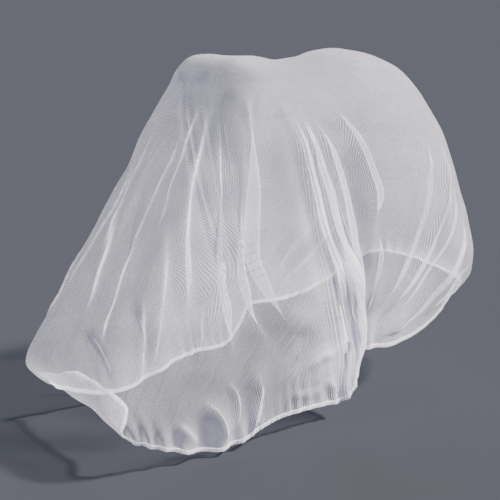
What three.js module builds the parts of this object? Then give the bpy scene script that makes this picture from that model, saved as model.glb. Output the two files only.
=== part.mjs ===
// A stroller mosquito net, in millimetres, +Z up, in the shape in which it hangs. It is one rectangle of fine white
// net with a hem all round that holds an elastic cord. From the toe at the front the sheet rises in a straight slope
// to the brow, runs over a shallow saddle and the crown, and falls down the round back. The hem draws in below, so
// that the whole is a hollow hood, open underneath.
//
// The toe points to -Y, and X runs across. The origin is under the crown, on the inner face, where the net bears.
import * as THREE from "three";

const NET_THICKNESS = 2; // the net with the small creases that it carries
const HEM_THICKNESS = 3; // four layers of net round an elastic cord
const HEM_WIDTH = 12;
const USUAL_RIB_LENGTH = 700; // from the middle to the hem
const DRAW_IN_FROM = 0.55; // the share of a rib's fall past which the hem's cord draws the sheet in
const DEGENERATE = 1e-6;

// A rib is the line that the sheet follows from its middle, over the side, down to the hem. Each row places one rib:
// where it starts on the middle line and where it ends on the hem, in Y and Z, how far it stands out from the middle,
// how square its shoulder is (2 is an ellipse), what share of its width is left at the hem, and how many steps the
// surface takes to the next rib.
const RIB_COLUMNS = ["topY", "topZ", "hemY", "hemZ", "halfWidth", "squareness", "hemShare", "steps"];
const RIBS = [
  [-577, -611, -573, -626, 108, 2.3, 1.0, 1], // front hem, tucked under the toe
  [-590, -613, -584, -631, 120, 2.5, 1.0, 2],
  [-631, -615, -602, -640, 146, 3.4, 0.98, 2],
  [-663, -585, -612, -650, 166, 4.2, 0.92, 2], // toe
  [-643, -537, -585, -672, 177, 4.6, 0.9, 3],
  [-589, -451, -523, -702, 184, 4.6, 0.9, 4],
  [-509, -325, -449, -725, 190, 4.4, 0.9, 4],
  [-421, -191, -367, -721, 195, 4.2, 0.92, 4],
  [-333, -59, -263, -695, 200, 4.2, 0.95, 5],
  [-295, -5, -167, -697, 204, 4.4, 0.98, 5], // brow
  [-247, -4, -121, -695, 203, 3.9, 1.0, 8],
  [-155, -15, -85, -651, 198, 3.2, 0.99, 5],
  [-80, -17, -65, -609, 196, 2.9, 0.98, 5], // saddle
  [0, 0, -25, -607, 198, 2.7, 0.97, 6], // crown
  [100, -11, 27, -613, 200, 2.6, 0.96, 5],
  [187, -59, 87, -609, 199, 2.6, 0.95, 4],
  [263, -159, 147, -593, 196, 2.6, 0.93, 4], // back
  [319, -289, 209, -567, 190, 2.7, 0.92, 4],
  [347, -423, 262, -541, 178, 2.8, 0.92, 3],
  [326, -483, 284, -524, 156, 2.8, 0.96, 2],
  [293, -499, 282, -515, 124, 2.5, 1.0, 1],
  [281, -501, 276, -512, 112, 2.4, 1.0, 0], // rear hem
];

// A fold is a ridge in the sheet. Each row runs it through three places, each one a rib's number in the table above
// and the share of the way down that rib, on the near side (1, +X) or the far side (-1). A height below zero is a
// trough.
const FOLD_COLUMNS = ["side", "rib1", "down1", "rib2", "down2", "rib3", "down3", "height", "width"];
const FOLDS = [
  // The front slope and the corner where it turns to the near side.
  [1, 8.8, 0.16, 7.6, 0.26, 6.4, 0.5, 20, 34],
  [1, 7.4, 0.1, 6.1, 0.24, 4.8, 0.5, 10, 26],
  [1, 8.7, 0.32, 8.2, 0.5, 8.0, 0.68, -14, 52],
  [1, 6.8, 0.44, 6.3, 0.6, 5.6, 0.7, 8, 28],
  [-1, 7.6, 0.06, 6.1, 0.05, 4.6, 0.02, 8, 24],
  // The bunch of pleats that hangs from the brow's near corner to the low tip of the hem.
  [1, 9.5, 0.2, 9.8, 0.5, 10.4, 0.84, 10, 12],
  [1, 10.0, 0.2, 10.3, 0.5, 11.0, 0.92, 14, 12],
  [1, 10.6, 0.22, 10.9, 0.5, 11.5, 0.82, 12, 13],
  [1, 10.3, 0.6, 10.8, 0.82, 10.4, 1.0, 15, 24],
  [1, 11.2, 0.3, 11.7, 0.6, 11.9, 0.8, -9, 16],
  // The long folds that fan out over the near side from the pinch behind the bunch.
  [1, 11.0, 0.18, 12.4, 0.54, 12.2, 0.86, 14, 24],
  [1, 14.2, 0.28, 13.2, 0.52, 12.5, 0.72, -11, 22],
  [1, 14.6, 0.34, 14.1, 0.64, 12.3, 0.94, 11, 17],
  [1, 15.3, 0.3, 15.3, 0.62, 12.4, 0.96, 12, 17],
  [1, 16.7, 0.46, 15.9, 0.76, 12.8, 0.98, 12, 19],
  [1, 13.5, 0.64, 13.1, 0.8, 12.2, 0.9, 8, 15],
  // The slack above the hem on the near side.
  [1, 7.4, 0.78, 7.3, 0.9, 7.0, 1.0, 12, 20],
  [1, 5.9, 0.76, 6.4, 0.9, 6.5, 1.0, 10, 20],
  [1, 8.4, 0.9, 9.2, 0.86, 10.0, 0.88, 8, 18],
  [1, 8.8, 0.76, 8.5, 0.83, 8.2, 0.9, -8, 20],
  [1, 7.6, 0.62, 8.3, 0.74, 9.2, 0.78, 8, 24],
  // The far side.
  [-1, 8.9, 0.3, 7.7, 0.44, 6.4, 0.68, 15, 30],
  [-1, 9.5, 0.2, 9.8, 0.5, 10.4, 0.9, 12, 13],
  [-1, 10.3, 0.22, 10.7, 0.55, 11.0, 0.94, 12, 13],
  [-1, 11.0, 0.18, 12.2, 0.5, 12.5, 0.88, 12, 24],
  [-1, 14.4, 0.34, 13.9, 0.66, 12.5, 0.95, 11, 18],
  [-1, 15.6, 0.3, 15.3, 0.66, 12.9, 0.96, 11, 18],
  [-1, 16.9, 0.42, 15.9, 0.76, 13.4, 0.98, 10, 20],
  [-1, 6.9, 0.7, 7.2, 0.86, 7.1, 1.0, 11, 22],
  [-1, 5.4, 0.62, 5.7, 0.82, 5.9, 1.0, 9, 22],
  [-1, 8.7, 0.6, 8.9, 0.8, 8.6, 1.0, 9, 20],
];
const FOLD_POINTS = 12; // the points that a fold's line is laid out with
const FOLD_FADE = 0.22; // the share of a fold's length over which it rises from the sheet
const FOLD_TROUGH = 0.5; // how deep the trough on each side of a fold is
const FOLD_SHARPNESS = 0.6; // how soon a fold dies away past its width

// The shares of a rib's length at which the surface has points, from the middle to the hem.
const SHARES_DOWN = [
  0, 0.06, 0.12, 0.165, 0.2, 0.235, 0.27, 0.31, 0.37, 0.44, 0.52, 0.6, 0.68, 0.76, 0.84, 0.91,
  1 - HEM_WIDTH / USUAL_RIB_LENGTH, 1,
];
const RIB_POINTS = 120; // the points with which a rib's length is measured

const lerp = THREE.MathUtils.lerp;

// The tables' rows as objects with named columns.
const named = (columns, rows) => rows.map((row) => Object.fromEntries(columns.map((name, i) => [name, row[i]])));
const ribs = named(RIB_COLUMNS, RIBS);
const folds = named(FOLD_COLUMNS, FOLDS);

// The rib at a fractional number, on a smooth curve through the rows of the table (Catmull-Rom, column by column).
function ribAt(number) {
  const i = Math.min(Math.floor(number), ribs.length - 2);
  const t = number - i;
  const rows = [i - 1, i, i + 1, i + 2].map((k) => ribs[THREE.MathUtils.clamp(k, 0, ribs.length - 1)]);
  const rib = {};
  for (const name of RIB_COLUMNS) {
    const [a, b, c, d] = rows.map((row) => row[name]);
    const slope = c - a;
    rib[name] = b + 0.5 * t * (slope + t * (2 * a - 5 * b + 4 * c - d + t * (3 * b - a - 3 * c + d)));
  }
  return rib;
}

// A point on a rib at an angle from 0 at the middle to a quarter turn at the hem: a superellipse that draws in
// towards the hem over its lower half.
function pointOnRib(rib, angle) {
  const power = 2 / rib.squareness;
  const fallen = 1 - Math.max(Math.cos(angle), 0) ** power;
  const low = Math.max(0, (fallen - DRAW_IN_FROM) / (1 - DRAW_IN_FROM));
  const drawnIn = 1 - (1 - rib.hemShare) * low * low;
  const x = rib.halfWidth * Math.sin(angle) ** power * drawnIn;
  return new THREE.Vector3(x, lerp(rib.topY, rib.hemY, fallen), lerp(rib.topZ, rib.hemZ, fallen));
}

// The points of a rib at the given shares of its length.
function laidOutRib(number, shares) {
  const rib = ribAt(number);
  const points = [];
  const lengths = [0];
  for (let i = 0; i <= RIB_POINTS; i++) {
    points.push(pointOnRib(rib, (i / RIB_POINTS) * (Math.PI / 2)));
    if (i) lengths.push(lengths[i - 1] + points[i].distanceTo(points[i - 1]));
  }
  return shares.map((share) => {
    const wanted = share * lengths[RIB_POINTS];
    let i = 1;
    while (i < RIB_POINTS && lengths[i] < wanted) i++;
    const part = (wanted - lengths[i - 1]) / (lengths[i] - lengths[i - 1]);
    return points[i - 1].clone().lerp(points[i], THREE.MathUtils.clamp(part, 0, 1));
  });
}

// The line of a fold on the smooth sheet: a parabola through its three places, in rib number and share down.
function foldLine(fold) {
  const line = [];
  for (let i = 0; i < FOLD_POINTS; i++) {
    const t = i / (FOLD_POINTS - 1);
    const weights = [(1 - t) * (1 - 2 * t), 4 * t * (1 - t), t * (2 * t - 1)];
    const rib = weights[0] * fold.rib1 + weights[1] * fold.rib2 + weights[2] * fold.rib3;
    const down = weights[0] * fold.down1 + weights[1] * fold.down2 + weights[2] * fold.down3;
    const [point] = laidOutRib(rib, [THREE.MathUtils.clamp(down, 0, 1)]);
    point.x *= fold.side;
    line.push(point);
  }
  return line;
}

// How far a fold lifts a point of the sheet: a soft ridge with a shallow trough on each side, which fades in at its
// ends, but runs out full where it reaches the hem.
function liftOf(fold, line, point) {
  const nearest = new THREE.Vector3();
  const segment = new THREE.Line3();
  let distance = Infinity;
  let along = 0;
  for (let i = 0; i + 1 < line.length; i++) {
    segment.set(line[i], line[i + 1]);
    const t = segment.closestPointToPointParameter(point, true);
    const d = segment.at(t, nearest).distanceTo(point);
    if (d < distance) {
      distance = d;
      along = (i + t) / (line.length - 1);
    }
  }
  const toEnd = fold.down3 >= 1 ? 1 : 1 - along;
  const rise = THREE.MathUtils.smoothstep(Math.min(along, toEnd), 0, FOLD_FADE);
  const q = (distance / fold.width) ** 2;
  return fold.height * rise * (1 - FOLD_TROUGH * q) * Math.exp(-FOLD_SHARPNESS * q);
}

// The numbers of the ribs that the surface is laid out on, each row's steps evenly to the next.
function stationNumbers() {
  const numbers = [];
  ribs.forEach((rib, i) => {
    for (let k = 0; k < Math.max(rib.steps, 1); k++) numbers.push(i + k / Math.max(rib.steps, 1));
  });
  return numbers;
}

// The surface's unit normals from the differences between neighbours, pointing out of the hollow.
function normalsOf(grid) {
  return grid.map((row, i) =>
    row.map((_, j) => {
      const before = grid[Math.max(i - 1, 0)][j];
      const after = grid[Math.min(i + 1, grid.length - 1)][j];
      const left = row[Math.max(j - 1, 0)];
      const right = row[Math.min(j + 1, row.length - 1)];
      const along = after.clone().sub(before);
      const across = right.clone().sub(left);
      const normal = across.cross(along);
      return normal.length() < DEGENERATE ? new THREE.Vector3(0, 0, 1) : normal.normalize();
    }),
  );
}

// The sheet's inner face as a grid of points: from the far hem over the top to the near hem, front to rear.
function innerFace() {
  const farShares = SHARES_DOWN.slice(1).reverse();
  const smooth = stationNumbers().map((number) => {
    const far = laidOutRib(number, farShares);
    far.forEach((point) => (point.x *= -1));
    return [...far, ...laidOutRib(number, SHARES_DOWN)];
  });
  const normals = normalsOf(smooth);
  const lines = folds.map(foldLine);
  return smooth.map((row, i) =>
    row.map((point, j) => {
      const lift = folds.reduce((sum, fold, k) => sum + liftOf(fold, lines[k], point), 0);
      return point.clone().addScaledVector(normals[i][j], lift);
    }),
  );
}

// A closed shell: the outer face stands off the inner one by the net's thickness, or the hem's at the edges, and a
// strip joins the two along the sheet's four edges.
function shell(inner) {
  const rows = inner.length;
  const columns = inner[0].length;
  const normals = normalsOf(inner);
  const positions = [];
  const atEdge = (i, j) => i < 2 || j < 2 || i > rows - 3 || j > columns - 3;
  inner.forEach((row) => row.forEach((point) => positions.push(...point.toArray())));
  inner.forEach((row, i) =>
    row.forEach((point, j) => {
      const thickness = atEdge(i, j) ? HEM_THICKNESS : NET_THICKNESS;
      positions.push(...point.clone().addScaledVector(normals[i][j], thickness).toArray());
    }),
  );
  const index = [];
  const quad = (a, b, c, d) => index.push(a, b, c, a, c, d);
  const innerAt = (i, j) => i * columns + j;
  const outerAt = (i, j) => rows * columns + innerAt(i, j);
  // Each cell is split along the way that most folds run, forwards from the middle, so the two sides are split
  // as mirror images.
  const middle = (columns - 1) / 2;
  for (let i = 0; i + 1 < rows; i++)
    for (let j = 0; j + 1 < columns; j++) {
      if (j < middle) {
        quad(outerAt(i, j), outerAt(i, j + 1), outerAt(i + 1, j + 1), outerAt(i + 1, j));
        quad(innerAt(i, j), innerAt(i + 1, j), innerAt(i + 1, j + 1), innerAt(i, j + 1));
      } else {
        quad(outerAt(i, j + 1), outerAt(i + 1, j + 1), outerAt(i + 1, j), outerAt(i, j));
        quad(innerAt(i + 1, j), innerAt(i + 1, j + 1), innerAt(i, j + 1), innerAt(i, j));
      }
    }
  for (let i = 0; i + 1 < rows; i++) {
    const last = columns - 1;
    quad(innerAt(i, 0), outerAt(i, 0), outerAt(i + 1, 0), innerAt(i + 1, 0));
    quad(outerAt(i, last), innerAt(i, last), innerAt(i + 1, last), outerAt(i + 1, last));
  }
  for (let j = 0; j + 1 < columns; j++) {
    const last = rows - 1;
    quad(outerAt(0, j), innerAt(0, j), innerAt(0, j + 1), outerAt(0, j + 1));
    quad(innerAt(last, j), outerAt(last, j), outerAt(last, j + 1), innerAt(last, j + 1));
  }
  const geometry = new THREE.BufferGeometry();
  geometry.setAttribute("position", new THREE.Float32BufferAttribute(positions, 3));
  geometry.setIndex(index);
  geometry.computeVertexNormals();
  return geometry;
}

const whiteNet = new THREE.MeshStandardMaterial({ color: "#eef0f8", roughness: 0.85, metalness: 0 });

const net = new THREE.Mesh(shell(innerFace()), whiteNet);
net.name = "net";

const cover = new THREE.Group();
cover.add(net);

export default cover;
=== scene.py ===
# A stroller mosquito net of fine white polyester, in the shape in which it hangs: a hollow cover, open
# below, with its toe towards -Y and the inside of its crown at the origin. Lengths are in metres, and one
# that is given in millimetres is multiplied by MM.
import math
import bmesh
import bpy
import numpy as np
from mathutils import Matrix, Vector


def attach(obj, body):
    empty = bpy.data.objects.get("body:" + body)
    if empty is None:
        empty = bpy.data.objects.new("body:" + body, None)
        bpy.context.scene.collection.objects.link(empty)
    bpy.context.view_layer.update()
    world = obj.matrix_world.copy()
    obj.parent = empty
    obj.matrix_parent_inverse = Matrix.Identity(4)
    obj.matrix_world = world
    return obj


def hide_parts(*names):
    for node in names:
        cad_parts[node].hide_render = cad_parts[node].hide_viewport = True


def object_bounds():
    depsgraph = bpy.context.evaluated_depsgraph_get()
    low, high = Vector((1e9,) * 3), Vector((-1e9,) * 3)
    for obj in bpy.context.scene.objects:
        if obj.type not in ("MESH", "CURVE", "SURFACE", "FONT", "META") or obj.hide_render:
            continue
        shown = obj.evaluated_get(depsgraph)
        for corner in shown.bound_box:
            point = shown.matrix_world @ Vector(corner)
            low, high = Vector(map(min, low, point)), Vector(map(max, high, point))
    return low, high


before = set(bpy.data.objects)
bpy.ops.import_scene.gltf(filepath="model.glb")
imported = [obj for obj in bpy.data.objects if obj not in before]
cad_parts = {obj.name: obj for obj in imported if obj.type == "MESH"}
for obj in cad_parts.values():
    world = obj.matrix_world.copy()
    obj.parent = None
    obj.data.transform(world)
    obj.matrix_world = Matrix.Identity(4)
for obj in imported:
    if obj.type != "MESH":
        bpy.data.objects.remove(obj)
cad_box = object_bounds()

# The net
# One rectangle of warp-knitted polyester net. It bears on the crown and the brow, is drawn down in a
# straight slope to the toe, and hangs at both sides in long folds, which the elastic in its hem draws
# together.
MM = 0.001
CROWN_GAP = 1 * MM  # the net runs in the middle of the solid shell's 2 mm, so 1 mm above its inner face

# Each row places one rib, the line that the net follows from its middle, over the side, down to the hem:
# where it starts on the middle line and where it ends on the hem, in Y and Z, how far it stands out from
# the middle, how square its shoulder is, what share of its width is left at the hem, and how far apart
# the mesh's lines are from there to the next rib. All lengths are in millimetres.
TOP_Y, TOP_Z, HEM_Y, HEM_Z, HALF_WIDTH, SQUARENESS, HEM_SHARE, SPACING = range(8)
RIBS = np.array([
    [-577, -611, -573, -626, 108, 2.3, 1.00, 5.0],  # front hem, tucked under the toe
    [-590, -613, -584, -631, 120, 2.5, 1.00, 5.0],
    [-631, -615, -602, -640, 146, 3.4, 0.98, 5.0],
    [-663, -585, -612, -650, 166, 4.2, 0.92, 5.5],  # toe
    [-643, -537, -585, -672, 177, 4.6, 0.90, 5.5],
    [-589, -451, -523, -702, 184, 4.6, 0.90, 5.5],
    [-509, -325, -449, -725, 190, 4.4, 0.90, 5.5],
    [-421, -191, -367, -721, 195, 4.2, 0.92, 5.5],
    [-333, -59, -263, -695, 200, 4.2, 0.95, 4.0],
    [-295, -5, -167, -697, 204, 4.4, 0.98, 2.6],  # brow
    [-247, -4, -121, -695, 203, 3.9, 1.00, 2.4],
    [-155, -15, -85, -651, 198, 3.2, 0.99, 2.8],
    [-80, -17, -65, -609, 196, 2.9, 0.98, 3.6],  # saddle
    [0, 0, -25, -607, 198, 2.7, 0.97, 4.2],  # crown
    [100, -11, 27, -613, 200, 2.6, 0.96, 4.2],
    [187, -59, 87, -609, 199, 2.6, 0.95, 4.2],
    [263, -159, 147, -593, 196, 2.6, 0.93, 4.6],  # back
    [319, -289, 209, -567, 190, 2.7, 0.92, 5.0],
    [347, -423, 262, -541, 178, 2.8, 0.92, 5.0],
    [326, -483, 284, -524, 156, 2.8, 0.96, 5.0],
    [293, -499, 282, -515, 124, 2.5, 1.00, 5.0],
    [281, -501, 276, -512, 112, 2.4, 1.00, 5.0],  # rear hem
])
LAST_RIB = len(RIBS) - 1
RIB_ANGLES = 121  # the points with which a rib's length is measured
DRAW_IN_FROM = 0.55  # the share of a rib's fall past which the elastic draws the net in
POINTS_AT_ONCE = 6000  # the points laid out at once, to spare memory


def ribs_at(numbers):
    """The rows of RIBS at fractional row numbers: a Catmull-Rom curve through the rows, by column."""
    i = np.minimum(numbers.astype(int), LAST_RIB - 1)
    t = (numbers - i)[:, None]
    a, b, c, d = (RIBS[np.clip(i + k, 0, LAST_RIB)] for k in (-1, 0, 1, 2))
    return b + 0.5 * t * (c - a + t * (2 * a - 5 * b + 4 * c - d + t * (3 * b - a - 3 * c + d)))


def some_places(numbers, shares):
    """Points at a share [n] of the length of the rib at a number [n]. A rib is a superellipse: at the
    angle t its width is sin(t) to the power 2 / squareness, and the share that it has fallen from its top
    to its hem is 1 less cos(t) to that power. Past DRAW_IN_FROM its width draws in with the square of the
    rest of the fall."""
    ribs = ribs_at(numbers)[:, :, None]
    angle = np.linspace(0, math.pi / 2, RIB_ANGLES)[None]
    power = 2 / ribs[:, SQUARENESS]
    fallen = 1 - np.maximum(np.cos(angle), 0) ** power
    low = np.maximum(0, (fallen - DRAW_IN_FROM) / (1 - DRAW_IN_FROM))
    x = ribs[:, HALF_WIDTH] * np.sin(angle) ** power * (1 - (1 - ribs[:, HEM_SHARE]) * low**2)
    y = ribs[:, TOP_Y] + (ribs[:, HEM_Y] - ribs[:, TOP_Y]) * fallen
    z = ribs[:, TOP_Z] + (ribs[:, HEM_Z] - ribs[:, TOP_Z]) * fallen
    points = np.stack([x, y, z], axis=-1) * MM
    steps = np.linalg.norm(np.diff(points, axis=1), axis=2)
    lengths = np.concatenate([np.zeros((len(steps), 1)), np.cumsum(steps, axis=1)], axis=1)
    wanted = shares * lengths[:, -1]
    rib = np.arange(len(wanted))
    k = np.clip((lengths < wanted[:, None]).sum(axis=1), 1, RIB_ANGLES - 1)
    part = (wanted - lengths[rib, k - 1]) / (lengths[rib, k] - lengths[rib, k - 1])
    return points[rib, k - 1] + np.clip(part, 0, 1)[:, None] * (points[rib, k] - points[rib, k - 1])


def places_on_net(numbers, shares):
    """Points of the smooth net at rib numbers and signed shares down, two arrays of one shape. The share
    runs from -1 on the far hem, over 0 on the middle line, to 1 on the near hem."""
    n, s = numbers.ravel(), np.abs(shares).ravel()
    parts = [some_places(n[i : i + POINTS_AT_ONCE], s[i : i + POINTS_AT_ONCE])
             for i in range(0, len(n), POINTS_AT_ONCE)]
    points = np.concatenate(parts).reshape(*numbers.shape, 3)
    points[..., 0] *= np.where(shares < 0, -1, 1)
    return points


def smoothstep(t):
    """0 below 0, 1 above 1, and between them 3 t squared less 2 t cubed."""
    t = np.clip(t, 0, 1)
    return t * t * (3 - 2 * t)


def fade(value, ends):
    """0 at the first of two ends, 1 at the second, and a smooth step between them."""
    return smoothstep((value - ends[0]) / (ends[1] - ends[0]))


# The mesh's lines run down the ribs, as close as SPACING says, and across them, closest on the near half
# of the slope. Low on both sides the lines down swing towards the pinch, as the folds there do, so that a
# fold runs along them and not over them.
LINES_ACROSS_SHARE = (-1, -0.55, -0.08, 0.55, 1)
LINES_ACROSS_COUNT = (0, 32, 76, 186, 236)
PINCH = 12.2  # the rib of the pinch above the hem
PINCH_PULL = 0.6  # how far the lines follow the folds to it
PULLED_FROM, PULLED_TO = (8.8, 10.6), (19.6, 16.4)  # the ribs over which the pull fades, before and behind
PULL_START, PULL_START_DROP = 0.25, 0.3  # the share down where it starts, and how much lower behind
PULL_DROPS_OVER = (11, 14)  # the ribs over which its start drops
NO_LENGTH = 1e-12  # the length below which a vector has no direction


def lines_down():
    """The rib numbers of the lines down, spaced on the longer of each rib row's two ends."""
    tops, hems = RIBS[:, [TOP_Y, TOP_Z]], RIBS[:, [HEM_Y, HEM_Z]]
    spans = np.maximum(*(np.linalg.norm(np.diff(ends, axis=0), axis=1) for ends in (tops, hems)))
    counts = np.maximum(np.round(spans / RIBS[:-1, SPACING]), 1).astype(int)
    numbers = [i + np.arange(count) / count for i, count in enumerate(counts)]
    return np.append(np.concatenate(numbers), LAST_RIB)


def mesh_places():
    """The rib number and the signed share down of each point of the mesh. A line's number moves towards
    PINCH by PINCH_PULL, faded over the ribs before and behind and with how far down the point is."""
    down = np.interp(np.arange(LINES_ACROSS_COUNT[-1] + 1), LINES_ACROSS_COUNT, LINES_ACROSS_SHARE)
    number, share = np.meshgrid(lines_down(), down, indexing="ij")
    pull_starts = PULL_START + PULL_START_DROP * fade(number, PULL_DROPS_OVER)
    low = smoothstep((np.abs(share) - pull_starts) / (1 - pull_starts))
    pulled = PINCH_PULL * low * fade(number, PULLED_FROM) * fade(number, PULLED_TO)
    return number + (PINCH - number) * pulled, share


def unit(vectors):
    """Each vector divided by its length."""
    return vectors / np.maximum(np.linalg.norm(vectors, axis=-1, keepdims=True), NO_LENGTH)


def normals_of(grid):
    """Unit normals of a grid of points, out of the hollow: the cross product of the differences between
    neighbours across and along the net."""
    return unit(np.cross(np.gradient(grid, axis=1), np.gradient(grid, axis=0)))


number, share = mesh_places()
smooth = places_on_net(number, share)
outwards = normals_of(smooth)

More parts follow.
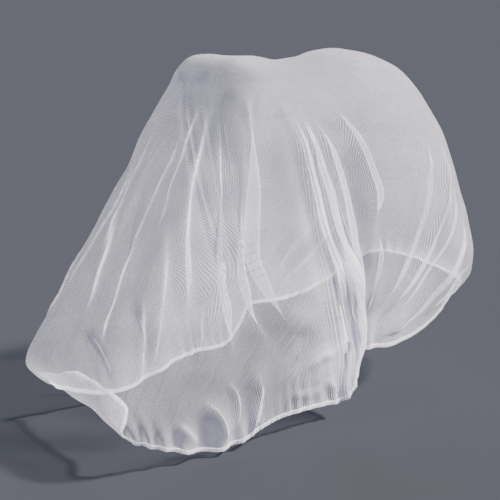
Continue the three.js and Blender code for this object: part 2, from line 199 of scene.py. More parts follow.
# Ridges, creases and troughs, each laid through three places. The long ones hang from the brow
# and the crown to the pinch above the hem, and the bunch under the brow's near corner has the tightest
# pleats. A place is a rib's number and a share of the way down it, on the near side, 1, or the far side,
# -1. The height, the width and how far the fold leans over to one side are in millimetres. One that
# leans by more than its width lies over itself, as a pressed pleat does, in three layers.
FOLDS = [
    # side, rib, down, rib, down, rib, down, height, width, lean
    # The front slope and the corner where it turns to the near side.
    (1, 8.8, 0.16, 7.6, 0.26, 6.4, 0.50, 20, 34, 0),
    (1, 7.4, 0.10, 6.1, 0.24, 4.8, 0.50, 10, 26, 0),
    (1, 8.7, 0.32, 8.2, 0.50, 8.0, 0.68, -14, 52, 0),
    (1, 6.8, 0.44, 6.3, 0.60, 5.6, 0.70, 8, 28, 0),
    (-1, 7.6, 0.06, 6.1, 0.05, 4.6, 0.02, 8, 24, 0),
    # The bunch of pleats from the brow's near corner to the low tip of the hem.
    (1, 9.5, 0.20, 9.8, 0.50, 10.4, 0.84, 10, 12, 0),
    (1, 10.0, 0.20, 10.3, 0.50, 11.0, 0.92, 14, 12, 0),
    (1, 10.6, 0.22, 10.9, 0.50, 11.5, 0.82, 12, 13, 0),
    (1, 10.3, 0.60, 10.8, 0.82, 10.4, 1.00, 15, 24, 0),
    (1, 11.2, 0.30, 11.7, 0.60, 11.9, 0.80, -9, 16, 0),
    # The long folds that fan out over the near side from the pinch behind the bunch.
    (1, 11.0, 0.18, 12.4, 0.54, 12.2, 0.86, 14, 24, 0),
    (1, 14.2, 0.28, 13.2, 0.52, 12.5, 0.72, -11, 22, 0),
    (1, 14.6, 0.34, 14.1, 0.64, 12.3, 0.94, 13, 16, 0),
    (1, 15.3, 0.30, 15.3, 0.62, 12.4, 0.96, 14, 16, 0),
    (1, 16.7, 0.46, 15.9, 0.76, 12.8, 0.98, 14, 18, 0),
    (1, 13.5, 0.64, 13.1, 0.80, 12.2, 0.90, 8, 15, 0),
    # The slack above the hem on the near side.
    (1, 7.4, 0.78, 7.3, 0.90, 7.0, 1.00, 12, 20, 0),
    (1, 5.9, 0.76, 6.4, 0.90, 6.5, 1.00, 10, 20, 0),
    (1, 8.4, 0.90, 9.2, 0.86, 10.0, 0.88, 5, 16, 0),
    (1, 8.8, 0.76, 8.5, 0.83, 8.2, 0.90, -5, 20, 0),
    (1, 7.6, 0.62, 8.3, 0.74, 9.2, 0.78, 6, 24, 0),
    # The far side.
    (-1, 8.9, 0.30, 7.7, 0.44, 6.4, 0.68, 15, 30, 0),
    (-1, 9.5, 0.20, 9.8, 0.50, 10.4, 0.90, 12, 13, 0),
    (-1, 10.3, 0.22, 10.7, 0.55, 11.0, 0.94, 12, 13, 0),
    (-1, 11.0, 0.18, 12.2, 0.50, 12.5, 0.88, 12, 24, 0),
    (-1, 14.4, 0.34, 13.9, 0.66, 12.5, 0.95, 11, 18, 0),
    (-1, 15.6, 0.30, 15.3, 0.66, 12.9, 0.96, 11, 18, 0),
    (-1, 16.9, 0.42, 15.9, 0.76, 13.4, 0.98, 10, 20, 0),
    (-1, 6.9, 0.70, 7.2, 0.86, 7.1, 1.00, 11, 22, 0),
    (-1, 5.4, 0.62, 5.7, 0.82, 5.9, 1.00, 9, 22, 0),
    (-1, 8.7, 0.60, 8.9, 0.80, 8.6, 1.00, 9, 20, 0),
    # The pleats side by side under the brow's near corner, and the slack near side behind them.
    (1, 8.5, 0.14, 7.15, 0.43, 8.5, 0.86, 11, 15, 46),
    (1, 8.3, 0.12, 6.85, 0.39, 7.8, 0.80, 10, 14, 42),
    (1, 8.1, 0.10, 6.55, 0.35, 7.0, 0.76, 9, 13, 38),
    (1, 7.9, 0.08, 6.40, 0.23, 6.0, 0.48, 8, 10, 26),
    # Creases of the slope, drawn tight from the brow to the toe.
    (1, 7.8, 0.05, 6.9, 0.08, 6.1, 0.17, 6, 6, 13),
    (1, 7.5, 0.03, 6.6, 0.04, 5.7, 0.09, 5, 6, 12),
    (1, 6.4, 0.18, 5.5, 0.38, 4.9, 0.58, 5, 7, 10),
    (1, 6.6, 0.34, 6.2, 0.50, 6.0, 0.64, 5, 7, 9),
    (1, 6.2, 0.08, 5.2, 0.14, 4.4, 0.30, 5, 6, 8),
    (1, 5.7, 0.22, 5.0, 0.44, 4.6, 0.60, 5, 6, 8),
    (-1, 7.8, 0.10, 6.6, 0.09, 5.4, 0.02, 5, 6, 8),
    (-1, 6.4, 0.12, 5.6, 0.03, 4.7, 0.02, 5, 6, -8),
    (-1, 6.2, 0.25, 5.2, 0.31, 4.3, 0.36, 5, 7, 9),
    (-1, 7.9, 0.22, 6.4, 0.34, 4.9, 0.40, 5, 7, 9),
    (-1, 8.3, 0.26, 7.4, 0.48, 6.6, 0.72, 5, 8, 10),
    # Tight pleats of the bunch.
    (1, 9.25, 0.21, 9.6, 0.46, 10.0, 0.70, 6, 5.5, 9),
    (1, 9.6, 0.22, 9.95, 0.48, 10.5, 0.80, 7, 5.5, 10),
    (1, 9.85, 0.22, 10.3, 0.48, 11.1, 0.86, 7, 5.5, 11),
    (1, 10.15, 0.24, 10.6, 0.48, 11.4, 0.84, 7, 5.5, 11),
    (1, 10.5, 0.25, 11.0, 0.48, 11.8, 0.80, 6, 5.5, 10),
    (1, 9.7, 0.52, 9.95, 0.78, 10.0, 0.98, 7, 10, 25),
    (1, 10.1, 0.55, 10.4, 0.80, 10.4, 0.98, 8, 11, 26),
    (1, 10.55, 0.52, 10.8, 0.80, 10.8, 0.98, 8, 10, 25),
    (1, 11.0, 0.50, 11.2, 0.78, 11.1, 0.98, 7, 9, 22),
    # Creases of the fan over the near side.
    (1, 11.1, 0.20, 12.2, 0.44, 12.9, 0.62, 7, 9, 20),
    (1, 12.8, 0.62, 12.6, 0.76, 12.1, 0.90, 5, 6, 13),
    (1, 13.3, 0.62, 13.1, 0.76, 12.3, 0.90, 5, 6, -13),
    (1, 14.7, 0.28, 14.4, 0.62, 12.6, 0.92, 6, 7, 16),
    (1, 15.2, 0.24, 15.2, 0.60, 12.7, 0.94, 7, 7, 18),
    (1, 15.8, 0.34, 15.6, 0.68, 12.8, 0.96, 6, 7, 16),
    (1, 16.4, 0.44, 16.0, 0.74, 13.0, 0.97, 6, 7, 16),
    (1, 17.0, 0.52, 16.2, 0.80, 13.4, 0.98, 6, 8, 18),
    (1, 16.6, 0.68, 15.2, 0.86, 13.0, 0.97, 5, 7, 14),
    (1, 17.7, 0.62, 16.9, 0.82, 15.0, 0.96, 5, 8, 15),
    # Wrinkles in the slack above the hem.
    (1, 7.35, 0.80, 7.3, 0.90, 7.1, 0.98, 6, 6, 9),
    (1, 6.0, 0.78, 6.4, 0.89, 6.5, 0.98, 5, 7, 8),
    (1, 6.6, 0.76, 6.9, 0.88, 6.6, 0.97, 5, 7, 8),
    (1, 5.2, 0.84, 5.6, 0.92, 5.8, 0.98, 4, 9, 5),
    (1, 8.5, 0.90, 9.1, 0.87, 9.9, 0.87, 4, 7, 6),
    (1, 8.8, 0.79, 8.5, 0.83, 8.2, 0.86, 4, 7, 5),
    (1, 9.0, 0.93, 9.3, 0.95, 9.7, 0.97, 4, 8, 4),
    (1, 8.0, 0.94, 8.5, 0.96, 9.1, 0.95, 4, 8, 4),
    # Creases of the far side.
    (-1, 9.5, 0.24, 9.8, 0.50, 10.5, 0.84, 6, 8, 11),
    (-1, 10.0, 0.24, 10.4, 0.52, 11.0, 0.88, 6, 8, 11),
    (-1, 10.6, 0.24, 11.0, 0.50, 11.7, 0.82, 6, 8, 11),
    (-1, 14.7, 0.32, 14.3, 0.62, 12.8, 0.92, 6, 9, 11),
    (-1, 15.7, 0.32, 15.4, 0.66, 13.0, 0.95, 6, 9, 11),
    (-1, 16.7, 0.46, 16.0, 0.76, 13.4, 0.97, 6, 9, 11),
    (-1, 7.0, 0.74, 7.2, 0.88, 7.0, 0.98, 6, 9, 10),
    (-1, 5.6, 0.70, 5.9, 0.84, 6.0, 0.98, 5, 9, 9),
]
FOLD_POINTS = 24  # the points that a fold's line is laid out with
FOLD_FADE = 0.32  # the share of a fold's length over which it rises from the net
FOLD_TROUGH = 0.5  # how deep the trough on each side of a fold is
FOLD_SHARPNESS = 0.6  # how soon a fold dies away past its width
LEAN_SHARPNESS = 1.4  # how soon its lean does
FOLD_REACH = 3.0  # the widths past which a fold no longer moves the net


def fold_line(side, places):
    """A fold's points on the smooth net: a parabola through its three places, in rib number and share."""
    t = np.linspace(0, 1, FOLD_POINTS)
    weights = np.stack([(1 - t) * (1 - 2 * t), 4 * t * (1 - t), t * (2 * t - 1)])
    number, down = np.array(places).reshape(3, 2).T @ weights
    return places_on_net(number, side * np.clip(down, 0, 1))


def fold_moves(points, normals, side, line, ends_on_hem, height, width, lean):
    """How a fold along a line moves each point [n, 3]: with q the square of the distance to the line over
    the width, along the normal by height (1 - FOLD_TROUGH q) exp(-FOLD_SHARPNESS q), and aside by lean
    exp(-LEAN_SHARPNESS q). Both fade in from the line's ends, but not at an end on the hem."""
    start, way = line[:-1], np.diff(line, axis=0)
    t = np.clip(((points[:, None] - start) * way).sum(axis=2) / (way**2).sum(axis=1), 0, 1)
    distance = np.linalg.norm(points[:, None] - start - t[..., None] * way, axis=2)
    nearest = distance.argmin(axis=1)
    picked = np.arange(len(points)), nearest
    along = (nearest + t[picked]) / len(way)
    to_end = 1.0 if ends_on_hem else 1 - along
    rise = smoothstep(np.minimum(along, to_end) / FOLD_FADE)[:, None]
    q = (distance[picked] / width)[:, None] ** 2
    aside = side * unit(np.cross(normals, way[nearest]))
    lift = height * (1 - FOLD_TROUGH * q) * np.exp(-FOLD_SHARPNESS * q)
    return rise * (lift * normals + lean * np.exp(-LEAN_SHARPNESS * q) * aside)


def folds_on(grid, normals):
    """How all the folds together move each point of the grid. A fold moves the points within FOLD_REACH
    of its widths from its line's box."""
    points, normals = grid.reshape(-1, 3), normals.reshape(-1, 3)
    moves = np.zeros_like(points)
    for side, *places, height, width, lean in FOLDS:
        line = fold_line(side, places)
        reach = FOLD_REACH * width * MM
        near = ((points > line.min(axis=0) - reach) & (points < line.max(axis=0) + reach)).all(axis=1)
        moves[near] += fold_moves(points[near], normals[near], side, line, places[-1] >= 1,
                                  height * MM, width * MM, lean * MM)
    return moves.reshape(grid.shape)


def running_length(grid, axis):
    """The length along the grid's lines from its first point, along an axis."""
    steps = np.linalg.norm(np.diff(grid, axis=axis), axis=2)
    first = np.zeros_like(steps.take([0], axis=axis))
    return np.concatenate([first, np.cumsum(steps, axis=axis)], axis=axis)


across, along = running_length(smooth, 1), running_length(smooth, 0)
to_far, to_near = across, across[:, [-1]] - across
to_front, to_rear = along, along[[-1]] - along

# The elastic gathers the net along all four edges, in uneven ripples that die away into the cloth. Each
# edge has a phase of its own. The slower sines are given as how much, over what length, and by how many
# times the phase they are shifted.
GATHER_HEIGHT = 6.0 * MM
GATHER_PITCH = 33 * MM
GATHER_DEPTH = 60 * MM  # how far from the hem the ripples have sunk to a third
CORNER_SPARED = 50 * MM  # how far from a corner the ripples of an edge end
GATHERS_CROWD = [(1.2, 110 * MM, 1), (0.5, 43 * MM, 2)]  # in turns of the ripple
GATHERS_DIFFER = [(0.3, 70 * MM, 3), (0.25, 19 * MM, 5)]  # in shares of its height
GATHER_USUAL = 0.6  # the share of the height that those are added to
FAR_PHASE, NEAR_PHASE, FRONT_PHASE, REAR_PHASE = 0.4, 1.7, 2.9, 5.1


def slow_sines(length, phase, rows):
    """The sum of much sin(length / over + times phase) over rows of much, over and times."""
    return sum(much * np.sin(length / over + times * phase) for much, over, times in rows)


def gathers_along(length, from_edge, from_corner, phase):
    """A ripple's height: a sine along the edge whose pitch and height drift with two slower sines, times
    exp(-(distance from the edge / GATHER_DEPTH) squared), faded out towards the corners."""
    turns = length / GATHER_PITCH + slow_sines(length, phase, GATHERS_CROWD)
    uneven = GATHER_USUAL + slow_sines(length, phase, GATHERS_DIFFER)
    sunk = np.exp(-((from_edge / GATHER_DEPTH) ** 2)) * smoothstep(from_corner / CORNER_SPARED)
    return GATHER_HEIGHT * np.sin(2 * math.pi * turns) * uneven * sunk


def gathers():
    """The ripples of the far, near, front and rear edges together."""
    corner_of_side = np.minimum(to_front, to_rear)
    corner_of_end = np.minimum(to_far, to_near)
    return (gathers_along(along[:, [0]], to_far, corner_of_side, FAR_PHASE)
            + gathers_along(along[:, [-1]], to_near, corner_of_side, NEAR_PHASE)
            + gathers_along(across[[0]], to_front, corner_of_end, FRONT_PHASE)
            + gathers_along(across[[-1]], to_rear, corner_of_end, REAR_PHASE))


# Between its folds the net is never quite smooth.
WAVE_COUNT = 16
WAVE_LENGTHS = (38 * MM, 170 * MM)
WAVE_STEEPNESS = 0.006  # a wave's height over its length
WAVE_CLIMB = 0.35  # how much the waves run up and down, beside how much they run level
WAVE_SEED = 7


def unevenness(points):
    """A sum of sine waves through space, each with a direction, a length and a phase from one seed. The
    directions lean to the level, so the waves' crests stand upright, as slack cloth's do."""
    draw = np.random.default_rng(WAVE_SEED)
    ways = unit(draw.normal(size=(WAVE_COUNT, 3)) * (1, 1, WAVE_CLIMB))
    lengths = draw.uniform(*WAVE_LENGTHS, WAVE_COUNT)
    phases = draw.uniform(0, 2 * math.pi, WAVE_COUNT)
    angles = 2 * math.pi * (points @ (ways / lengths[:, None]).T) + phases
    return (WAVE_STEEPNESS * lengths * np.sin(angles)).sum(axis=-1)


lift = CROWN_GAP + gathers() + unevenness(smooth)
sheet = smooth + folds_on(smooth, outwards) + lift[..., None] * outwards

# Where the yarns close up, less light passes between them: along the elastic, and at these places on the
# near side, where the cloth is drawn together. The flanks of folds are made denser too, so that they are
# painted white: a painted sheen for the whiter look of a net seen aslant, the same from every side.
STEEPEST_PAINTED_SHEEN = 9.0  # how many times denser the steepest flank of a fold is made: the most of its painted sheen
HEM_CROWDS = 0.8  # how much closer they stand at the hem
HEM_CROWDS_TO = 26 * MM  # how far from it that has sunk to a third
CROWDED = [
    # rib, down, how much closer the yarns stand, reach in millimetres
    (12.2, 1.00, 3.5, 130),
    (10.0, 0.50, 4.0, 38),
    (10.2, 0.68, 8.0, 52),
    (10.5, 0.88, 9.0, 60),
    (7.1, 0.16, 1.5, 45),
    (6.7, 0.28, 2.3, 45),
    (6.6, 0.42, 2.4, 50),
    (6.9, 0.58, 2.0, 45),
    (5.6, 0.98, 2.2, 60),
    (7.0, 0.95, 1.8, 50),
]


def closeness_and_painted_sheen():
    """How dense the net is at each point, 1 for plain net: 1 / the cosine between the folded net and the
    smooth one, at most the cap above, so that a fold's flanks are painted white, a painted sheen for the
    whiter look of a net seen aslant, times 1 + the sum over the hem and the crowded places of how much
    closer the yarns stand exp(-(distance / reach) squared)."""
    cosine = np.abs((normals_of(sheet) * outwards).sum(axis=2))
    from_edge = np.minimum(np.minimum(to_far, to_near), np.minimum(to_front, to_rear))
    crowded = 1 + HEM_CROWDS * np.exp(-((from_edge / HEM_CROWDS_TO) ** 2))
    for number, down, more, reach in CROWDED:
        place = places_on_net(np.array([number]), np.array([down]))[0]
        away = np.linalg.norm(smooth - place, axis=2) / (reach * MM)
        crowded += more * np.exp(-(away**2))
    return crowded / np.maximum(cosine, 1 / STEEPEST_PAINTED_SHEEN)


def grid_mesh(name, grid, uv):
    """A mesh of quads over a grid of points [n, m, 3], with the UV map cloth from [n, m, 2]."""
    rows, columns = grid.shape[:2]
    at = np.arange(rows * columns).reshape(rows, columns)
    quads = np.stack([at[:-1, :-1], at[:-1, 1:], at[1:, 1:], at[1:, :-1]], axis=-1).reshape(-1, 4)
    mesh = bpy.data.meshes.new(name)
    mesh.from_pydata(grid.reshape(-1, 3), [], quads)
    mesh.polygons.foreach_set("use_smooth", np.ones(len(quads), bool))
    layer = mesh.uv_layers.new(name="cloth")
    layer.data.foreach_set("uv", uv.reshape(-1, 2)[quads.ravel()].ravel())
    mesh.update()
    piece = bpy.data.objects.new(name, mesh)
    bpy.context.scene.collection.objects.link(piece)
    return piece


# The knit is laid out in metres, from a line close to the middle to both sides and from the front hem to
# the rear.
across_knit = across - across[:, [LINES_ACROSS_COUNT[2]]]
along_knit = np.broadcast_to(along.mean(axis=1, keepdims=True), along.shape)
net = grid_mesh("net_sheet", sheet, np.stack([across_knit, along_knit], axis=-1))
# The net's density at each point, with the painted sheen on the flanks of folds.
net.data.attributes.new("closeness_and_painted_sheen", "FLOAT", "POINT").data.foreach_set("value", closeness_and_painted_sheen().ravel())


def linear(code):
    """An sRGB hex colour as the linear RGBA that shaders use, by the sRGB standard's curve."""
    shares = [int(code[i : i + 2], 16) / 255 for i in (1, 3, 5)]
    return [s / 12.92 if s <= 0.04045 else ((s + 0.055) / 1.055) ** 2.4 for s in shares] + [1.0]


def add(tree, kind, settings=None, **inputs):
    """Adds a node with its settings, and gives its inputs a value or a link. An input is named with _ for
    a space, or by its place as i0, i1."""
    node = tree.nodes.new(kind)
    for name, value in (settings or {}).items():
        setattr(node, name, value)
    for name, value in inputs.items():
        by_place = name[0] == "i" and name[1:].isdigit()
        socket = node.inputs[int(name[1:]) if by_place else name.replace("_", " ")]
        if isinstance(value, bpy.types.NodeSocket):
            tree.links.new(value, socket)
        else:
            socket.default_value = value
    return node


NET_WHITE = "#f3f1fb"
# The real holes are 1.2 mm wide. They are drawn 2.9 mm wide, so that the knit shows at all from close by.
HOLE_WIDTH, HOLE_HEIGHT, YARN = 2.9, 2.5, 0.55  # in millimetres
HOLE_OPEN, YARN_OPEN = 0.94, 0.40  # how much light a hole and a yarn let straight through in plain net
YARN_HEIGHT = 0.3 * MM
NET_THROUGH = 0.4  # the share of the light on a yarn that comes out behind it
STREAKS = (140, 9)  # streaks to a metre: about 7 mm wide and 110 mm long
STREAK_CLOSES = (1.5, 0.9)  # the power that the least and the most open streak gives
NOISE_FROM, NOISE_TO = 0.3, 0.7  # the values between which a noise lies nearly everywhere


def white_polyester_net():
    """Warp-knitted polyester net, heat-set: a mesh of fine white multifilament yarn, soft and matt, which
    lets light through its holes and a little through its yarns. What passes straight through is the share
    of plain net to the power of the mesh's density, which holds the painted sheen on the flanks of folds,
    made uneven by streaks along the yarn."""
    material = bpy.data.materials.new("white_polyester_net")
    material.use_nodes = True
    tree = material.node_tree
    tree.nodes.clear()
    uv = add(tree, "ShaderNodeUVMap", {"uv_map": "cloth"})
    mm = add(tree, "ShaderNodeMapping", i0=uv.outputs["UV"], Scale=(1 / MM, 1 / MM, 1))
    knit = add(tree, "ShaderNodeTexBrick", {"offset": 0.5}, Vector=mm.outputs[0], Scale=1.0,
               Mortar_Size=YARN / 2, Mortar_Smooth=0.5, Brick_Width=HOLE_WIDTH, Row_Height=HOLE_HEIGHT)
    streaks_at = add(tree, "ShaderNodeMapping", i0=uv.outputs["UV"], Scale=(*STREAKS, 1))
    streaks = add(tree, "ShaderNodeTexNoise", Vector=streaks_at.outputs[0], Scale=1.0, Detail=3.0,
                  Roughness=0.6)
    plain = add(tree, "ShaderNodeMapRange", i0=knit.outputs["Fac"], To_Min=HOLE_OPEN, To_Max=YARN_OPEN)
    streaked = add(tree, "ShaderNodeMapRange", i0=streaks.outputs["Fac"], From_Min=NOISE_FROM,
                   From_Max=NOISE_TO, To_Min=STREAK_CLOSES[0], To_Max=STREAK_CLOSES[1])
    # The net's density, which holds the painted sheen on the flanks of folds.
    close = add(tree, "ShaderNodeAttribute", {"attribute_name": "closeness_and_painted_sheen"})
    power = add(tree, "ShaderNodeMath", {"operation": "MULTIPLY"}, i0=streaked.outputs[0],
                i1=close.outputs["Fac"])
    opening = add(tree, "ShaderNodeMath", {"operation": "POWER"}, i0=plain.outputs[0], i1=power.outputs[0])
    bump = add(tree, "ShaderNodeBump", Strength=0.4, Distance=YARN_HEIGHT, Height=knit.outputs["Fac"])
    yarn = add(tree, "ShaderNodeBsdfPrincipled", Base_Color=linear(NET_WHITE), Roughness=0.7,
               Sheen_Weight=0.3, Sheen_Roughness=0.4, Normal=bump.outputs[0])
    through = add(tree, "ShaderNodeBsdfTranslucent", Color=linear(NET_WHITE))
    cloth = add(tree, "ShaderNodeMixShader", i0=NET_THROUGH, i1=yarn.outputs[0], i2=through.outputs[0])
    clear = add(tree, "ShaderNodeBsdfTransparent")
    mixed = add(tree, "ShaderNodeMixShader", i0=opening.outputs[0], i1=cloth.outputs[0],
                i2=clear.outputs[0])
    add(tree, "ShaderNodeOutputMaterial", Surface=mixed.outputs[0])
    return material


net.data.materials.append(white_polyester_net())
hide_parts("net")
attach(net, "root")

# The hem
# The net's edge is turned over twice and sewn down all round as a channel, with an elastic cord inside.
# The elastic ruches it, so the hem is a soft, dense band with close cross creases.
HEM_WIDTH = 9.5 * MM
HEM_THICK = 2.8 * MM
HEM_PAST_EDGE = 1.5 * MM  # how far the hem reaches past the net's own edge
HEM_STATION = 3.2 * MM  # the distance between the sections along the hem
HEM_SECTION = 14  # the points round a section
HEM_BLUR = 9 * MM  # how far the hem's route rounds off the net's small ripples
RUCHE_PITCH = 8.5 * MM
RUCHE_HEIGHT = 0.9 * MM
RUCHE_DRIFT, RUCHE_DRIFTS = 1.3, 31  # how far the ruches shift, in radians, and how often round the hem
SLOWER_RUCHES, SLOWER_HEIGHT = 0.618, 0.5  # a second set's number and height, beside the first's
WIDTH_SWELLS, WIDTH_PHASE = 0.07, 0.7  # how much the hem widens with the ruches, and its shift in radians
THICKNESS_SWELLS = 0.30  # how much it thickens with them


def edge_loop(grid):
    """The closed line round a grid's four edges: along the near edge, over the rear one, back along the
    far one and over the front one."""
    return np.concatenate([grid[:-1, -1], grid[-1, :0:-1], grid[:0:-1, 0], grid[0, :-1]])


def along_loop(loop, values, count):
    """The values [n, k] at a closed line's points, read at evenly spaced places round it."""
    closed = np.concatenate([loop, loop[:1]])
    length = np.append(0, np.cumsum(np.linalg.norm(np.diff(closed, axis=0), axis=1)))
    at = np.linspace(0, length[-1], count, endpoint=False)
    closed_values = np.concatenate([values, values[:1]])
    return np.stack([np.interp(at, length, column) for column in closed_values.T], axis=-1)


def blurred(values, reach):
    """Values round a closed line, averaged with a Gaussian of a reach in stations."""
    offsets = np.arange(-int(3 * reach), int(3 * reach) + 1)
    weights = np.exp(-0.5 * (offsets / reach) ** 2)
    rolled = sum(w * np.roll(values, k, axis=0) for k, w in zip(offsets, weights))
    return rolled / weights.sum()


loop = edge_loop(sheet)
loop_length = np.linalg.norm(np.roll(loop, -1, axis=0) - loop, axis=1).sum()
stations = int(loop_length / HEM_STATION)
blur = HEM_BLUR / HEM_STATION
route = blurred(along_loop(loop, loop, stations), blur)
tangent = unit(np.roll(route, -1, axis=0) - np.roll(route, 1, axis=0))
inwards = unit(np.cross(unit(blurred(along_loop(loop, edge_loop(outwards), stations), blur)), tangent))
out = np.cross(tangent, inwards)

# A section is an ellipse across the hem. It reaches inwards over the net from HEM_PAST_EDGE outside the
# rounded edge, and it rides up and down with the ruches, two sines along the hem of which both go into
# its length a whole number of times. Its width and its thickness swell with the first.
place = np.arange(stations) * loop_length / stations
turn = 2 * math.pi * place / loop_length
ruches = loop_length / RUCHE_PITCH
phase = round(ruches) * turn + RUCHE_DRIFT * np.sin(RUCHE_DRIFTS * turn)
slower_phase = round(SLOWER_RUCHES * ruches) * turn
ruche = RUCHE_HEIGHT * (np.sin(phase) + SLOWER_HEIGHT * np.sin(slower_phase))
half_width = HEM_WIDTH / 2 * (1 + WIDTH_SWELLS * np.sin(phase + WIDTH_PHASE))
half_thick = HEM_THICK / 2 * (1 + THICKNESS_SWELLS * np.sin(phase))
round_angle = np.linspace(0, 2 * math.pi, HEM_SECTION + 1)
wide = half_width[:, None] * np.cos(round_angle) + half_width[:, None] - HEM_PAST_EDGE
high = half_thick[:, None] * np.sin(round_angle) + ruche[:, None]
tube = route[:, None] + wide[..., None] * inwards[:, None] + high[..., None] * out[:, None]
tube = np.concatenate([tube, tube[:1]])
hem_uv = np.meshgrid(np.append(place, loop_length), round_angle / (2 * math.pi), indexing="ij")
hem = grid_mesh("hem", tube, np.stack(hem_uv, axis=-1))
SAME_PLACE = 0.001 * MM  # how close two points are to be joined


def weld(piece):
    """Joins the seams where a grid that goes round meets itself, with its faces pointing outwards."""
    mesh = bmesh.new()
    mesh.from_mesh(piece.data)
    bmesh.ops.remove_doubles(mesh, verts=mesh.verts, dist=SAME_PLACE)
    bmesh.ops.recalc_face_normals(mesh, faces=mesh.faces)
    mesh.to_mesh(piece.data)
    mesh.free()


weld(hem)
HEM_WHITE = "#f7f6fb"
HEM_OPEN = (0.68, 0.4)  # how much light it lets straight through, at its most and its least open
HEM_THROUGH = 0.3  # the share of the light on it that comes out behind it
HEM_CREASES = (420, 3)  # creases to a metre along the hem, 2.4 mm apart, and to a turn round it
CREASE_HEIGHT = 0.8 * MM
STITCH_PITCH, STITCH_LONG = 3.4 * MM, 0.7  # the stitches' pitch, and the share of it that the thread covers
STITCH_ROUND, STITCH_WIDE = 0.13, 0.015  # their place round the hem and half their width, in turns


def ruched_net_hem():
    """Four layers of the same net over a white elastic cord: dense, matt, and finely creased, with a row
    of small stitches on each face."""
    material = bpy.data.materials.new("ruched_net_hem")
    material.use_nodes = True
    tree = material.node_tree
    tree.nodes.clear()
    uv = add(tree, "ShaderNodeUVMap", {"uv_map": "cloth"})
    creases_at = add(tree, "ShaderNodeMapping", i0=uv.outputs["UV"], Scale=(*HEM_CREASES, 1))
    creases = add(tree, "ShaderNodeTexNoise", Vector=creases_at.outputs[0], Scale=1.0, Detail=2.0,
                  Roughness=0.6)
    creased = add(tree, "ShaderNodeMapRange", i0=creases.outputs["Fac"], From_Min=NOISE_FROM,
                  From_Max=NOISE_TO, To_Min=HEM_OPEN[0], To_Max=HEM_OPEN[1])
    parts = add(tree, "ShaderNodeSeparateXYZ", Vector=uv.outputs["UV"])
    from_edge = add(tree, "ShaderNodeMath", {"operation": "PINGPONG"}, i0=parts.outputs[1], i1=0.5)
    row = add(tree, "ShaderNodeMath", {"operation": "COMPARE"}, i0=from_edge.outputs[0], i1=STITCH_ROUND,
              i2=STITCH_WIDE)
    count = add(tree, "ShaderNodeMath", {"operation": "DIVIDE"}, i0=parts.outputs[0], i1=STITCH_PITCH)
    step = add(tree, "ShaderNodeMath", {"operation": "FRACT"}, i0=count.outputs[0])
    thread = add(tree, "ShaderNodeMath", {"operation": "LESS_THAN"}, i0=step.outputs[0], i1=STITCH_LONG)
    stitch = add(tree, "ShaderNodeMath", {"operation": "MULTIPLY"}, i0=row.outputs[0],
                 i1=thread.outputs[0])
    bare = add(tree, "ShaderNodeMath", {"operation": "SUBTRACT"}, i0=1.0, i1=stitch.outputs[0])
    opening = add(tree, "ShaderNodeMath", {"operation": "MULTIPLY"}, i0=creased.outputs[0],
                  i1=bare.outputs[0])
    height = add(tree, "ShaderNodeMath", {"operation": "ADD"}, i0=creases.outputs["Fac"],
                 i1=stitch.outputs[0])
    bump = add(tree, "ShaderNodeBump", Strength=0.6, Distance=CREASE_HEIGHT, Height=height.outputs[0])
    yarn = add(tree, "ShaderNodeBsdfPrincipled", Base_Color=linear(HEM_WHITE), Roughness=0.75,
               Sheen_Weight=0.25, Sheen_Roughness=0.4, Normal=bump.outputs[0])
    through = add(tree, "ShaderNodeBsdfTranslucent", Color=linear(HEM_WHITE))
    cloth = add(tree, "ShaderNodeMixShader", i0=HEM_THROUGH, i1=yarn.outputs[0], i2=through.outputs[0])
    clear = add(tree, "ShaderNodeBsdfTransparent")
    mixed = add(tree, "ShaderNodeMixShader", i0=opening.outputs[0], i1=cloth.outputs[0],
                i2=clear.outputs[0])
    add(tree, "ShaderNodeOutputMaterial", Surface=mixed.outputs[0])
    return material


hem.data.materials.append(ruched_net_hem())
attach(hem, "root")

# The floor, the light and the camera
# A matt grey floor under the net, and a sky as bright as it. The key sun rakes over the near side from
# behind, the second shines through from behind the far side, and the third fills the front. The camera
# has the photograph's view, from 53 degrees round and 15 degrees up.
FLOOR_DROP = 14 * MM  # how far the floor is below the solid
FLOOR_HALF = 80.0  # half the floor's width, far past what the view shows
FLOOR_GREY = "#313338"
SKY_GREY, SKY_STRENGTH = "#9496a0", 0.48
SUNS = [
    # name, azimuth, elevation, strength, spread in degrees, colour
    ("key", 132, 46, 17.0, 6, "#fff9f2"),
    ("back", 236, 30, 4.0, 25, "#e4e6ff"),
    ("fill", 10, 35, 1.2, 40, "#e6e9ff"),
]
SUN_AWAY = 3.0  # how far off a sun's object stands, which doesn't change its light
MIDDLE = np.array([0.0, -0.225, -0.391])  # of the net
VIEW_AZIMUTH, VIEW_ELEVATION, VIEW_AWAY = 53, 15, 2.0
VIEW_AIM = MIDDLE + np.array([0.0078, 0.0104, -0.010])  # puts the net where the picture has it
LENS = 69.0  # in millimetres

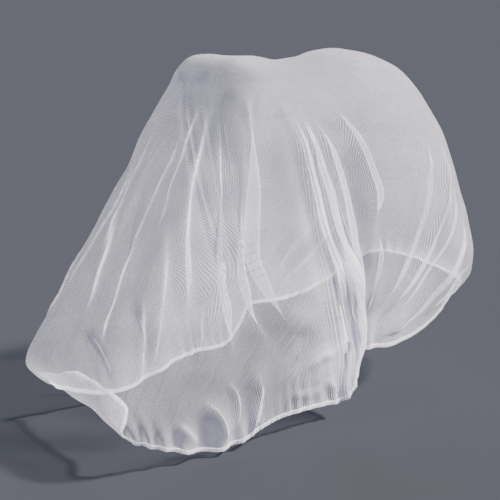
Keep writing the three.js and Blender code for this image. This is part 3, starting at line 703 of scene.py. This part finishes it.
low = cad_box[0][2] - FLOOR_DROP
floor_mesh = bpy.data.meshes.new("floor")
corners = [(x * FLOOR_HALF, y * FLOOR_HALF, low) for x, y in ((-1, -1), (1, -1), (1, 1), (-1, 1))]
floor_mesh.from_pydata(corners, [], [(0, 1, 2, 3)])
floor = bpy.data.objects.new("floor", floor_mesh)
bpy.context.scene.collection.objects.link(floor)
floor_paint = bpy.data.materials.new("matt_floor")
floor_paint.use_nodes = True
floor_shader = floor_paint.node_tree.nodes["Principled BSDF"]
floor_shader.inputs["Base Color"].default_value = linear(FLOOR_GREY)
floor_shader.inputs["Roughness"].default_value = 1.0
floor_shader.inputs["Specular IOR Level"].default_value = 0.0
floor.data.materials.append(floor_paint)

world = bpy.data.worlds.new("studio")
world.use_nodes = True
world.node_tree.nodes["Background"].inputs["Color"].default_value = linear(SKY_GREY)
world.node_tree.nodes["Background"].inputs["Strength"].default_value = SKY_STRENGTH
bpy.context.scene.world = world


def direction(azimuth, elevation):
    """The unit vector from the net towards a place at these angles. Azimuth 0 is in front, and 90 is +X."""
    a, e = math.radians(azimuth), math.radians(elevation)
    return np.array([math.sin(a) * math.cos(e), -math.cos(a) * math.cos(e), math.sin(e)])


def look_at(thing, target):
    """Turns a camera or a lamp so that it looks from its place at a point."""
    thing.rotation_euler = (thing.location - Vector(target)).to_track_quat("Z", "Y").to_euler()


def add_sun(name, azimuth, elevation, strength, spread, colour):
    """A sun from an azimuth and an elevation, as wide as its spread in degrees."""
    data = bpy.data.lights.new(name, "SUN")
    data.energy, data.angle, data.color = strength, math.radians(spread), linear(colour)[:3]
    lamp = bpy.data.objects.new(name, data)
    bpy.context.scene.collection.objects.link(lamp)
    lamp.location = MIDDLE + direction(azimuth, elevation) * SUN_AWAY
    look_at(lamp, MIDDLE)


for sun in SUNS:
    add_sun(*sun)

camera_data = bpy.data.cameras.new("camera")
camera_data.lens = LENS
camera = bpy.data.objects.new("camera", camera_data)
bpy.context.scene.collection.objects.link(camera)
camera.location = MIDDLE + direction(VIEW_AZIMUTH, VIEW_ELEVATION) * VIEW_AWAY
look_at(camera, VIEW_AIM)
bpy.context.scene.camera = camera
